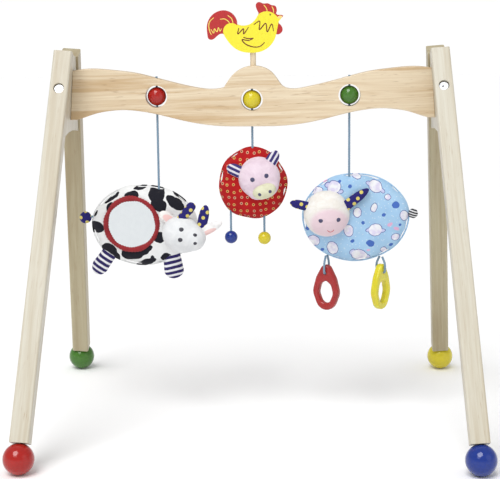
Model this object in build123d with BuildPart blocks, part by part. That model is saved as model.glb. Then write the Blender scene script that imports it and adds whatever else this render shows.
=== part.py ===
"""Wooden activity play gym: two splayed leg frames, a wavy crossbar and three hanging padded toys.

The origin is on the floor at the middle of the four feet: +X to the right, +Y to the rear, +Z up.
All sizes are in millimetres.
"""
from build123d import *
import math
import os

os.makedirs("parts", exist_ok=True)

# Driving dimensions of the frame.
ball_radius = 20
foot_x = 287.8
foot_y = 248.8
leg_top_x = 252.2
leg_top_y = 26.0
leg_top_z = 513.7
leg_width = 25
leg_depth = 24
leg_round = 2.5
foot_flat = 19.5
block_thickness = 19
block_top_z = 509
block_bottom_z = 402
block_arch = 5.6
bar_thickness = 19
bar_round = 1.2
bar_end_top_z = 489.7
bar_end_bottom_z = 423

# Fasteners.
bolt_radius = 3
bolt_hole_radius = 3.2
bolt_head_radius = 5.8
bolt_head_height = 3.5
counterbore_radius = 7
nut_radius = 5
nut_length = 14
leg_counterbore_depth = 7
leg_bolt_drop = 53.4
leg_nut_depth = 14
bar_counterbore_depth = 6
bar_bolt_z = 456
bar_nut_depth = 22
bolt_end = 7
bar_dowel_radius = 3
bar_dowel_half = 12
bar_dowel_spacing = 20
foot_dowel_radius = 4
foot_dowel_half = 15

# Beads and cords.
cord_radius = 1.6
cord_hole_radius = 2
bead_radius = 12.75
bead_bore_radius = 1.68
bead_hole_radius = 15
cord_pocket = 12
neck_length = 8
sway_gap = 0.2
swing_gap = 0.5
cord_in_pad = 5
pad_bore_radius = 1.68
string_radius = 1.6
moving_gap = 0.4

# Padded toys: their flat front face stands at y = -pad_front.
pad_front = 9
pad_thickness = 22
pad_round = 9.5
pad_middle_y = pad_thickness / 2 - pad_front

# One hanging place per toy: x of the cord, height of the bead, underside of the bar, top of the toy.
cord_places = {
    "cow": (-130.5, 454.0, 430.0, 330.0),
    "pig": (0.0, 448.8, 412.5, 383.0),
    "lamb": (133.0, 454.0, 429.6, 345.5),
}

lean = math.atan2(foot_x - leg_top_x, leg_top_z - ball_radius)
slope_length = math.hypot(foot_x - leg_top_x, leg_top_z - ball_radius)
splay = math.atan2(foot_y - leg_top_y, slope_length)
leg_length = math.hypot(foot_y - leg_top_y, slope_length) - foot_flat


def frame_normal(side):
    """Outward normal of the leg frame on one side."""
    return Vector(side * math.cos(lean), 0, math.sin(lean))


def leg_down(side, end):
    """Direction of a leg from its top to its foot."""
    slope = Vector(side * math.sin(lean), 0, -math.cos(lean))
    return Vector(0, end, 0) * math.sin(splay) + slope * math.cos(splay)


def leg_outward(side, end):
    """Direction across a leg, in the plane of its frame, away from the middle."""
    slope = Vector(side * math.sin(lean), 0, -math.cos(lean))
    return Vector(0, end, 0) * math.cos(splay) - slope * math.sin(splay)


def leg_top(side, end):
    return Vector(side * leg_top_x, end * leg_top_y, leg_top_z)


def rod(plane, radius, length, mode=Mode.ADD):
    """Round bar or drilled hole that starts on a plane and runs along its normal."""
    with Locations(plane):
        Cylinder(radius, length, align=(Align.CENTER, Align.CENTER, Align.MIN), mode=mode)


def upright(x, y, z, radius, length, mode=Mode.ADD):
    """Vertical round bar or hole, from height z upwards."""
    rod(Plane(origin=(x, y, z)), radius, length, mode)


def leg_bolt_seat(side, end):
    """Plane on the floor of a leg's counterbore, looking into the leg."""
    out = leg_outward(side, end)
    centre = leg_top(side, end) + leg_down(side, end) * leg_bolt_drop
    seat = centre + out * (leg_depth / 2 - leg_counterbore_depth)
    return Plane(origin=seat, x_dir=frame_normal(side), z_dir=out * -1)


def leg_nut_centre(side, end):
    centre = leg_top(side, end) + leg_down(side, end) * leg_bolt_drop
    return centre - leg_outward(side, end) * (leg_depth / 2 + leg_nut_depth)


def block_middle(side, z):
    """Point on the middle plane of an end block at a height."""
    return Vector(side * (leg_top_x + (leg_top_z - z) * math.tan(lean)), 0, z)


def bar_bolt_seat(side):
    """Plane on the floor of the counterbore in a block's outer face."""
    normal = frame_normal(side)
    seat = block_middle(side, bar_bolt_z) + normal * (block_thickness / 2 - bar_counterbore_depth)
    return Plane(origin=seat, x_dir=(0, 1, 0), z_dir=normal * -1)


def bar_nut_centre(side):
    return block_middle(side, bar_bolt_z) - frame_normal(side) * (block_thickness / 2 + bar_nut_depth)


def bar_dowel_planes(side):
    """Planes on the block's inner face, one for each locating dowel."""
    normal = frame_normal(side)
    slope_up = Vector(-side * math.sin(lean), 0, math.cos(lean))
    face = block_middle(side, bar_bolt_z) - normal * (block_thickness / 2)
    points = [face + slope_up * (bar_dowel_spacing * step) for step in (-1, 1)]
    return [Plane(origin=point, x_dir=(0, 1, 0), z_dir=normal * -1) for point in points]


def shifted(plane, distance):
    return plane.offset(distance)


corners = [(side, end) for side in (-1, 1) for end in (-1, 1)]
corner_names = {(-1, -1): "front_left", (1, -1): "front_right", (-1, 1): "rear_left", (1, 1): "rear_right"}
pieces = {}

# Legs, with a counterbored bolt hole near the top and a dowel hole in the foot end.
for side, end in corners:
    top_plane = Plane(origin=leg_top(side, end), x_dir=frame_normal(side), z_dir=leg_down(side, end))
    bolt_seat = leg_bolt_seat(side, end)
    with BuildPart() as leg:
        with BuildSketch(top_plane):
            RectangleRounded(leg_width, leg_depth, leg_round)
        extrude(amount=leg_length)
        rod(shifted(bolt_seat, -leg_counterbore_depth), counterbore_radius, leg_counterbore_depth, Mode.SUBTRACT)
        rod(bolt_seat, bolt_hole_radius, leg_depth, Mode.SUBTRACT)
        rod(shifted(top_plane, leg_length - foot_dowel_half), foot_dowel_radius, foot_dowel_half, Mode.SUBTRACT)
    pieces[corner_names[side, end] + "_leg"] = leg.part

# Ball feet, each with a small flat and a dowel hole towards its leg.
for side, end in corners:
    centre = Vector(side * foot_x, end * foot_y, ball_radius)
    flat = Plane(origin=centre - leg_down(side, end) * foot_flat, z_dir=leg_down(side, end))
    with BuildPart() as ball:
        with Locations(centre):
            Sphere(ball_radius)
        split(bisect_by=flat, keep=Keep.TOP)
        rod(flat, foot_dowel_radius, foot_dowel_half, Mode.SUBTRACT)
    pieces[corner_names[side, end] + "_foot"] = ball.part

with BuildPart() as foot_dowels:
    for side, end in corners:
        centre = Vector(side * foot_x, end * foot_y, ball_radius)
        joint_point = centre - leg_down(side, end) * foot_flat
        start = joint_point - leg_down(side, end) * foot_dowel_half
        rod(Plane(origin=start, z_dir=leg_down(side, end)), foot_dowel_radius, 2 * foot_dowel_half)
pieces["foot_dowels"] = foot_dowels.part

# End blocks, tapered boards that close the top of each leg frame.
for side, name in ((-1, "left_end_block"), (1, "right_end_block")):
    face_offset = leg_depth / 2 / math.cos(splay)
    top_drop = (leg_top_z - block_top_z) / math.cos(lean)
    bottom_drop = (leg_top_z - block_bottom_z) / math.cos(lean)
    top_half = leg_top_y + top_drop * math.tan(splay) - face_offset
    bottom_half = leg_top_y + bottom_drop * math.tan(splay) - face_offset
    normal = frame_normal(side)
    middle = Plane(origin=(side * leg_top_x, 0, leg_top_z), x_dir=(0, side, 0), z_dir=normal)
    with BuildPart() as block:
        with BuildSketch(middle):
            with BuildLine():
                Polyline((-bottom_half, -bottom_drop), (-top_half, -top_drop), (top_half, -top_drop),
                         (bottom_half, -bottom_drop))
                ThreePointArc((bottom_half, -bottom_drop), (0, block_arch - bottom_drop),
                              (-bottom_half, -bottom_drop))
            make_face()
        extrude(amount=block_thickness / 2, both=True)
        for end in (-1, 1):
            rod(leg_bolt_seat(side, end), bolt_hole_radius, 40, Mode.SUBTRACT)
            nut_start = leg_nut_centre(side, end) - normal * (nut_length / 2)
            rod(Plane(origin=nut_start, z_dir=normal), nut_radius, block_thickness, Mode.SUBTRACT)
        seat = bar_bolt_seat(side)
        rod(shifted(seat, -bar_counterbore_depth), counterbore_radius, bar_counterbore_depth, Mode.SUBTRACT)
        rod(seat, bolt_hole_radius, block_thickness, Mode.SUBTRACT)
        for plane in bar_dowel_planes(side):
            rod(shifted(plane, -bar_dowel_half), bar_dowel_radius, bar_dowel_half, Mode.SUBTRACT)
    pieces[name] = block.part


def bar_end(z):
    """Half length of the crossbar at a height, where it meets the leaning block."""
    return leg_top_x + (leg_top_z - z) * math.tan(lean) - block_thickness / 2 / math.cos(lean)


# Crossbar outline: a wave on each side of a low dome that carries the figure.
top_wave = [(52, 463.2), (73, 465), (97, 470.1), (131, 479), (162, 486.4), (190, 490), (220, 492.2),
            (bar_end(bar_end_top_z), bar_end_top_z)]
bottom_wave = [(240, 423), (229, 426.3), (213, 431.5), (196, 434.6), (176, 436), (156, 434.5), (131, 430),
               (98, 421.8), (65, 415.4), (40, 413)]
dome = [(-38, 465.5), (-31, 476.5), (-22, 486), (-10, 492.3), (3, 494.5), (16, 492.3), (27, 486), (36, 474.8),
        (43, 466.3)]
left_wave = [(-x, z) for x, z in reversed(top_wave)]
left_bottom = [(-x, z) for x, z in reversed(bottom_wave)]
bar_foot = bar_end(bar_end_bottom_z)

dowel_x = 2
figure_bottom_z = 512.2
figure_dowel_radius = 4
figure_dowel_depth = 18
bar_top_z = 494.5

with BuildPart() as crossbar:
    with BuildSketch(Plane.XZ):
        with BuildLine():
            Spline(*dome, *top_wave)
            Polyline(top_wave[-1], (bar_foot, bar_end_bottom_z), bottom_wave[0])
            Spline(*bottom_wave, (0, 412.5), *left_bottom)
            Polyline(left_bottom[-1], (-bar_foot, bar_end_bottom_z), left_wave[0])
            Spline(*left_wave, dome[0])
        make_face()
    extrude(amount=bar_thickness / 2, both=True)
    long_edges = crossbar.faces().filter_by(Axis.Y).edges()
    fillet(long_edges, radius=bar_round)
    for x, bead_z, exit_z, toy_z in cord_places.values():
        rod(Plane.XZ.shift_origin((x, 0, bead_z)).offset(-bar_thickness), bead_hole_radius,
            2 * bar_thickness, Mode.SUBTRACT)
        upright(x, 0, exit_z - 10, cord_hole_radius, bead_z - exit_z + 10, Mode.SUBTRACT)
        upright(x, 0, bead_z, cord_hole_radius, bead_hole_radius + cord_pocket, Mode.SUBTRACT)
    upright(dowel_x, 0, bar_top_z - figure_dowel_depth, figure_dowel_radius, 40, Mode.SUBTRACT)
    for side in (-1, 1):
        rod(bar_bolt_seat(side), bolt_hole_radius, 48, Mode.SUBTRACT)
        nut = bar_nut_centre(side)
        rod(Plane.XZ.shift_origin((nut.X, 0, nut.Z)).offset(-bar_thickness), nut_radius,
            bar_thickness + nut_length / 2, Mode.SUBTRACT)
        for plane in bar_dowel_planes(side):
            rod(plane, bar_dowel_radius, bar_dowel_half, Mode.SUBTRACT)
pieces["crossbar"] = crossbar.part

# Cross-head bolts, their barrel nuts and the locating dowels.
leg_reach = (leg_depth - leg_counterbore_depth) + leg_nut_depth
bar_reach = (block_thickness - bar_counterbore_depth) + bar_nut_depth
bolt_runs = [(leg_bolt_seat(side, end), leg_reach) for side, end in corners]
bolt_runs += [(bar_bolt_seat(side), bar_reach) for side in (-1, 1)]

with BuildPart() as frame_bolts:
    for seat, reach in bolt_runs:
        rod(shifted(seat, -bolt_head_height), bolt_head_radius, bolt_head_height)
        rod(seat, bolt_radius, reach + bolt_end)
        for turn in (45, 135):
            slot_plane = shifted(seat, -bolt_head_height).rotated((0, 0, turn))
            with Locations(slot_plane):
                Box(7, 1.3, 1.8, align=(Align.CENTER, Align.CENTER, Align.MIN), mode=Mode.SUBTRACT)
pieces["frame_bolts"] = frame_bolts.part

nut_axes = [(leg_nut_centre(side, end), frame_normal(side)) for side, end in corners]
nut_axes += [(bar_nut_centre(side), Vector(0, 1, 0)) for side in (-1, 1)]
with BuildPart() as barrel_nuts:
    for centre, axis in nut_axes:
        rod(Plane(origin=centre - axis * (nut_length / 2), z_dir=axis), nut_radius, nut_length)
    for seat, reach in bolt_runs:
        rod(seat, bolt_radius, reach + bolt_end + 1, Mode.SUBTRACT)
pieces["barrel_nuts"] = barrel_nuts.part

with BuildPart() as bar_dowels:
    for side in (-1, 1):
        for plane in bar_dowel_planes(side):
            rod(shifted(plane, -bar_dowel_half), bar_dowel_radius, 2 * bar_dowel_half)
pieces["bar_dowels"] = bar_dowels.part

# Rooster figure, a flat painted board on a dowel.
figure_thickness = 12
figure_dowel_height = 12
with BuildPart() as rooster:
    with BuildSketch(Plane.XZ):
        with BuildLine():
            Spline((-19.1, 550.6), (-20.5, 558), (-26.5, 565.5), (-37, 569.3), (-48, 566.5), (-56.5, 558.5),
                   (-60, 548.5), (-59.5, 537), (-57.5, 531), (-54.5, 530), (-47, 534.5), (-37.6, 537.5))
            Spline((-37.6, 537.5), (-31.4, 527.5), (-21.9, 518), (-10, 513), (2, 512.2), (12, 513.4),
                   (22.5, 518.6), (30.6, 528), (33.6, 536.8))
            Spline((33.6, 536.8), (38.8, 537.2), (42.4, 541.8), (41.5, 546.6), (37.2, 551.2))
            Polyline((37.2, 551.2), (37.4, 554), (43.6, 561), (41.5, 562.4), (35.4, 562.6), (33.6, 564.6))
            Spline((33.6, 564.6), (34.8, 569.5), (32.2, 574.8), (27.5, 575.6), (23, 578), (16.5, 577.9),
                   (10, 579.8), (6.9, 577.2), (7.4, 571), (10.3, 565.2))
            Spline((10.3, 565.2), (5, 556), (-1, 551), (-10, 548.6), (-19.1, 550.6))
        make_face()
    extrude(amount=figure_thickness / 2, both=True)
    upright(dowel_x, 0, figure_bottom_z - 5, figure_dowel_radius, 5 + figure_dowel_height, Mode.SUBTRACT)
pieces["rooster"] = rooster.part

with BuildPart() as rooster_dowel:
    dowel_start = bar_top_z - figure_dowel_depth
    upright(dowel_x, 0, dowel_start, figure_dowel_radius, figure_bottom_z + figure_dowel_height - dowel_start)
pieces["rooster_dowel"] = rooster_dowel.part

# Beads in the bar and the cord of each toy, cut where it bends.
bead_names = {"cow": "red_bead", "pig": "yellow_bead", "lamb": "green_bead"}
for toy, (x, bead_z, exit_z, toy_z) in cord_places.items():
    with BuildPart() as bead:
        with Locations((x, 0, bead_z)):
            Sphere(bead_radius)
            Cylinder(bead_bore_radius, 4 * bead_radius, mode=Mode.SUBTRACT)
    pieces[bead_names[toy]] = bead.part
    pocket_top = bead_z + bead_hole_radius + cord_pocket
    with BuildPart() as bar_cord:
        upright(x, 0, exit_z, cord_radius, pocket_top - exit_z)
    pieces[toy + "_bar_cord"] = bar_cord.part
    with BuildPart() as neck_cord:
        upright(x, 0, exit_z - neck_length + swing_gap, cord_radius, neck_length - swing_gap - sway_gap)
    pieces[toy + "_neck_cord"] = neck_cord.part
    cord_bottom = toy_z - cord_in_pad
    with BuildPart() as hanging_cord:
        upright(x, 0, cord_bottom, cord_radius, exit_z - neck_length - swing_gap - cord_bottom)
    pieces[toy + "_cord"] = hanging_cord.part
    print(toy, "cord hangs", round(exit_z - toy_z, 1), "mm, straight all the way")


def front_plane(x, z, front=pad_front, tilt=0):
    """Upright plane that looks to the front, with its centre at x and z."""
    direction = (math.cos(math.radians(tilt)), 0, math.sin(math.radians(tilt)))
    return Plane(origin=(x, -front, z), x_dir=direction, z_dir=(0, -1, 0))


def pad(x, z, half_width, half_height, toy):
    """Oval padded body with rounded rims and a bore for its cord."""
    cord_x, bead_z, exit_z, toy_z = cord_places[toy]
    with BuildPart() as piece:
        with BuildSketch(front_plane(x, z)):
            Ellipse(half_width, half_height)
        extrude(amount=-pad_thickness)
        fillet(piece.edges(), radius=pad_round)
        upright(cord_x, 0, toy_z - cord_in_pad - moving_gap, pad_bore_radius, 20, Mode.SUBTRACT)
    return piece.part


def pad_underside(offset, z, half_width, half_height):
    """Height of an oval pad's lower rim at a sideways offset from its centre."""
    return z - half_height * math.sqrt(1 - (offset / half_width) ** 2)


def lobe(base, tip, width, thickness, middle_y, neighbours):
    """Flat rounded ear, horn or foot from base to tip, cut to fit against its neighbours."""
    length = math.dist(base, tip)
    tilt = math.degrees(math.atan2(tip[1] - base[1], tip[0] - base[0]))
    with BuildPart() as piece:
        with BuildSketch(front_plane(base[0], base[1], -middle_y, tilt)):
            with Locations((length / 2, 0)):
                SlotOverall(length, width)
        extrude(amount=thickness / 2, both=True)
        fillet(piece.edges(), radius=thickness * 0.3)
        for neighbour in neighbours:
            add(neighbour, mode=Mode.SUBTRACT)
    return piece.part


def dome_head(x, z, radius, depth):
    """Padded half-round head that stands on the front face of its body."""
    with BuildPart() as piece:
        with BuildSketch(Plane(origin=(x, -pad_front, z), x_dir=(1, 0, 0), z_dir=(0, 0, 1))):
            Ellipse(radius, depth)
            with Locations((-radius, 0)):
                Rectangle(2 * radius, 4 * depth, mode=Mode.SUBTRACT)
            with Locations((0, depth)):
                Rectangle(4 * radius, 2 * depth, mode=Mode.SUBTRACT)
        revolve(axis=Axis((x, -pad_front, z), (0, 1, 0)))
    return piece.part


# Cow: oval body, round mirror in a binding, head with horns and ears, two feet and a tail ball.
cow_body = pad(-152, 275, 73.5, 56.5, "cow")
mirror_x = -168.4
mirror_z = 277.9
mirror_radius = 34
mirror_thickness = 1.5
rim_outer = 39.5
rim_lip = 32.4
rim_height = 5

with BuildPart() as cow_mirror:
    rod(front_plane(mirror_x, mirror_z), mirror_radius, mirror_thickness)

with BuildPart() as cow_mirror_rim:
    with BuildSketch(front_plane(mirror_x, mirror_z)):
        Circle(rim_outer)
    extrude(amount=rim_height)
    fillet(cow_mirror_rim.faces().sort_by(Axis.Y)[0].edges(), radius=2.5)
    rod(front_plane(mirror_x, mirror_z), mirror_radius, mirror_thickness, Mode.SUBTRACT)
    rod(front_plane(mirror_x, mirror_z), rim_lip, 2 * rim_height, Mode.SUBTRACT)

cow_head_length = 40
cow_head_round = 20
with BuildPart() as cow_head_solid:
    with BuildSketch(front_plane(-95, 266, pad_front, -22)):
        Ellipse(30, 26)
    extrude(amount=cow_head_length)
    fillet(cow_head_solid.faces().sort_by(Axis.Y)[0].edges(), radius=cow_head_round)
cow_head = cow_head_solid.part

cow_tail_centre = Vector(-234.5, pad_middle_y, 285.8)
cow_tail_radius = 8.5
with BuildPart() as cow_tail:
    with Locations(cow_tail_centre):
        Sphere(cow_tail_radius)
with BuildPart() as cow_tail_cord:
    rod(Plane(origin=cow_tail_centre, z_dir=(1, 0, 0.1)), cord_radius, 16)
    add(cow_tail.part, mode=Mode.SUBTRACT)
    add(cow_body, mode=Mode.SUBTRACT)

pieces["cow_body"] = cow_body
pieces["cow_mirror"] = cow_mirror.part
pieces["cow_mirror_rim"] = cow_mirror_rim.part
pieces["cow_head"] = cow_head
pieces["cow_left_ear"] = lobe((-108, 280), (-128, 296), 16, 7, -20, [cow_head])
pieces["cow_right_ear"] = lobe((-78, 266), (-41.5, 283), 15, 7, -28, [cow_head])
pieces["cow_left_horn"] = lobe((-102, 283), (-79.5, 310), 12.5, 8, -30, [cow_head])
pieces["cow_right_horn"] = lobe((-71.5, 270), (-63.5, 307), 14, 8, -27, [cow_head,
                                                                       pieces["cow_right_ear"]])
pieces["cow_left_foot"] = lobe((-200, 238), (-223, 206), 23, 15, pad_middle_y, [cow_body])
pieces["cow_right_foot"] = lobe((-115, 235), (-110.5, 198.5), 28, 15, pad_middle_y, [cow_body])
pieces["cow_tail"] = cow_tail.part
pieces["cow_tail_cord"] = cow_tail_cord.part

# Pig: round body, round head with snout and ears, two wooden balls on strings.
pig_centre_z = 332.8
pig_half_width = 47.4
pig_half_height = 50
pig_body = pad(0, pig_centre_z, pig_half_width, pig_half_height, "pig")
pig_head = dome_head(9.1, 342, 29.3, 22)
with BuildPart() as pig_snout:
    with BuildSketch(front_plane(16.6, 326.1, 13, 18)):
        Ellipse(16.3, 10.5)
    extrude(amount=22)
    fillet(pig_snout.faces().sort_by(Axis.Y)[0].edges(), radius=3)
    add(pig_head, mode=Mode.SUBTRACT)

pig_ball_radius = 9
pig_balls = {"left": (-31.0, 257.1), "right": (15.5, 255.7)}
for place, (x, ball_z) in pig_balls.items():
    string_top = pad_underside(abs(x) - string_radius, pig_centre_z, pig_half_width, pig_half_height)
    with BuildPart() as wooden_ball:
        with Locations((x, pad_middle_y, ball_z)):
            Sphere(pig_ball_radius)
        upright(x, pad_middle_y, ball_z + 2, string_radius, pig_ball_radius, Mode.SUBTRACT)
    pieces["pig_" + place + "_ball"] = wooden_ball.part
    with BuildPart() as pig_string:
        upright(x, pad_middle_y, ball_z + 2, string_radius, string_top - moving_gap - ball_z - 2)
    pieces["pig_" + place + "_string"] = pig_string.part
    print("pig", place, "string", round(string_top - ball_z - pig_ball_radius, 1), "mm")

pieces["pig_body"] = pig_body
pieces["pig_head"] = pig_head
pieces["pig_snout"] = pig_snout.part
pieces["pig_left_ear"] = lobe((-12, 347), (-35, 358), 17, 7, -12.5, [pig_head, pig_body])
pieces["pig_right_ear"] = lobe((22, 358), (34.5, 379), 17, 7, -12.5, [pig_head, pig_body])

# Lamb: oval body, round head with ears, a tail puff and two teething rings on cord loops.
lamb_body = pad(142, 284.7, 73.9, 61.4, "lamb")
lamb_head = dome_head(101.9, 291.7, 32.4, 27)
with BuildPart() as lamb_tail:
    with Locations((222, pad_middle_y, 289.4)):
        Sphere(7)
    add(lamb_body, mode=Mode.SUBTRACT)

pieces["lamb_body"] = lamb_body
pieces["lamb_head"] = lamb_head
pieces["lamb_left_ear"] = lobe((80, 302), (51, 308.2), 13, 6, -18, [lamb_head])
pieces["lamb_right_ear"] = lobe((123, 300), (159.5, 327), 14, 6, -18, [lamb_head])
pieces["lamb_tail"] = lamb_tail.part

# Teething rings: a drop-shaped loop of plastic that hangs by its tip.
ring_thickness = 10
ring_circles = [(16, 16), (20, 26.5), (16.3, 40), (8.5, 56)]
hole_circles = [(8.5, 18.5), (11, 25), (9.5, 31), (3.5, 38)]
ring_pin_height = 52.8
ring_pin_radius = 2.2
loop_half_width = 7
loop_fold_radius = 3.4
loop_bend_radius = 14
loop_top_half_width = 2.2
loop_places = {"red": (102.0, 153.0, 230.5, -30), "yellow": (177.5, 154.0, 228.6, 55)}


def drop_sketch(plane, circles):
    """Drop-shaped outline drawn round three circles, each a radius and a height."""
    with BuildSketch(plane) as outline:
        for radius, height in circles:
            with Locations((0, height)):
                Circle(radius)
        make_hull()
    return outline.sketch


for colour, (x, ring_z, loop_top, turn) in loop_places.items():
    face_angle = math.radians(turn)
    across = Vector(math.cos(face_angle), math.sin(face_angle), 0)
    facing = Vector(math.sin(face_angle), -math.cos(face_angle), 0)
    ring_plane = Plane(origin=(x, pad_middle_y, ring_z), x_dir=across, z_dir=facing)
    with BuildPart() as ring:
        extrude(drop_sketch(ring_plane, ring_circles), amount=ring_thickness / 2, both=True)
        extrude(drop_sketch(ring_plane, hole_circles), amount=ring_thickness, both=True, mode=Mode.SUBTRACT)
        flat_faces = ring.faces().filter_by(GeomType.PLANE).sort_by(Face.area)[-2:]
        fillet(flat_faces.edges(), radius=3)
        pin_start = Vector(x, pad_middle_y, ring_z + ring_pin_height) - facing * ring_thickness
        rod(Plane(origin=pin_start, z_dir=facing), ring_pin_radius, 2 * ring_thickness, Mode.SUBTRACT)
    pieces[colour + "_ring"] = ring.part
    loop_plane = Plane(origin=(x, pad_middle_y, ring_z + ring_pin_height), x_dir=facing, z_dir=across * -1)
    rise = loop_top - ring_z - ring_pin_height
    with BuildPart() as loop:
        with BuildLine(loop_plane) as loop_line:
            FilletPolyline((loop_top_half_width, rise), (loop_half_width, rise / 2), (loop_half_width, 0),
                           (-loop_half_width, 0), (-loop_half_width, rise / 2), (-loop_top_half_width, rise),
                           radius=[loop_bend_radius, loop_fold_radius, loop_fold_radius, loop_bend_radius])
        with BuildSketch(Plane(origin=loop_line.line @ 0, z_dir=loop_line.line % 0)):
            Circle(cord_radius)
        sweep()
    pieces[colour + "_ring_loop"] = loop.part
    loop_length = loop_line.wires()[0].length
    tube_volume = math.pi * cord_radius ** 2 * loop_length
    print(colour, "ring loop", round(loop_length, 1), "mm, fold radius", loop_fold_radius,
          "volume ratio", round(loop.part.volume / tube_volume, 3))

for name, piece in pieces.items():
    piece.label = name
    export_step(piece, "parts/" + name + ".step")
print(len(pieces), "pieces")
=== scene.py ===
"""Looks of the activity play gym: camera, light, wood, paint, cords and the padded toys.

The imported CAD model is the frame. Everything is in metres in the row's own axes:
+X to the right, +Y to the rear, +Z up. Lengths written as mm(...) are in millimetres.
"""
import bmesh
import bpy
import math
from mathutils import Matrix, Vector, noise
from mathutils.bvhtree import BVHTree


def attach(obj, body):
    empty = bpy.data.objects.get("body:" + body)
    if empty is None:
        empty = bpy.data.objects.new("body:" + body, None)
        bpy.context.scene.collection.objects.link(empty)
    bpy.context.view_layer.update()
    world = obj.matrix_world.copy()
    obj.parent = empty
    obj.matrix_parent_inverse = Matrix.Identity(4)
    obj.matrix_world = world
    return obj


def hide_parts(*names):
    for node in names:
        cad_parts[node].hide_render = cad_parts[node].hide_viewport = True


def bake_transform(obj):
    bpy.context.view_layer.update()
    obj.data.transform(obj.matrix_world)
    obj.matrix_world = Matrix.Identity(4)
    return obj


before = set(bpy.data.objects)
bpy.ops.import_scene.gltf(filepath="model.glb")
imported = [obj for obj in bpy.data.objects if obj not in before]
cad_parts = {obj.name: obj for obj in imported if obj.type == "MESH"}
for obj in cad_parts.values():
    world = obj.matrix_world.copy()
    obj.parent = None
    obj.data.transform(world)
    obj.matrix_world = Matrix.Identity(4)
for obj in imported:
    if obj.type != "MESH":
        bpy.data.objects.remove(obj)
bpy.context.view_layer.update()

MM = 0.001
scene = bpy.context.scene


def mm(*values):
    """Point or length given in millimetres, in metres."""
    if len(values) == 1:
        return values[0] * MM
    return Vector([value * MM for value in values])


# ---------------------------------------------------------------- camera

CAMERA_PLACE = mm(65.1, -1841.4, 579.4)
CAMERA_YAW = math.radians(-2.17)
CAMERA_PITCH = math.radians(-10.02)
CAMERA_ROLL = math.radians(-0.58)
CAMERA_LENS = 96.6


def make_camera():
    """Camera at the place, direction and lens that fit the gym's legs and blocks."""
    data = bpy.data.cameras.new("camera")
    data.lens = CAMERA_LENS
    data.sensor_width = 36
    camera = bpy.data.objects.new("camera", data)
    scene.collection.objects.link(camera)
    forward = Vector((math.sin(CAMERA_YAW) * math.cos(CAMERA_PITCH),
                      math.cos(CAMERA_YAW) * math.cos(CAMERA_PITCH), math.sin(CAMERA_PITCH)))
    right = Vector((math.cos(CAMERA_YAW), -math.sin(CAMERA_YAW), 0))
    up = right.cross(forward)
    turned_right = right * math.cos(CAMERA_ROLL) + up * math.sin(CAMERA_ROLL)
    turned_up = up * math.cos(CAMERA_ROLL) - right * math.sin(CAMERA_ROLL)
    matrix = Matrix((turned_right, turned_up, -forward)).transposed().to_4x4()
    matrix.translation = CAMERA_PLACE
    camera.matrix_world = matrix
    scene.camera = camera


make_camera()


# ---------------------------------------------------------------- shader helpers

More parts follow.
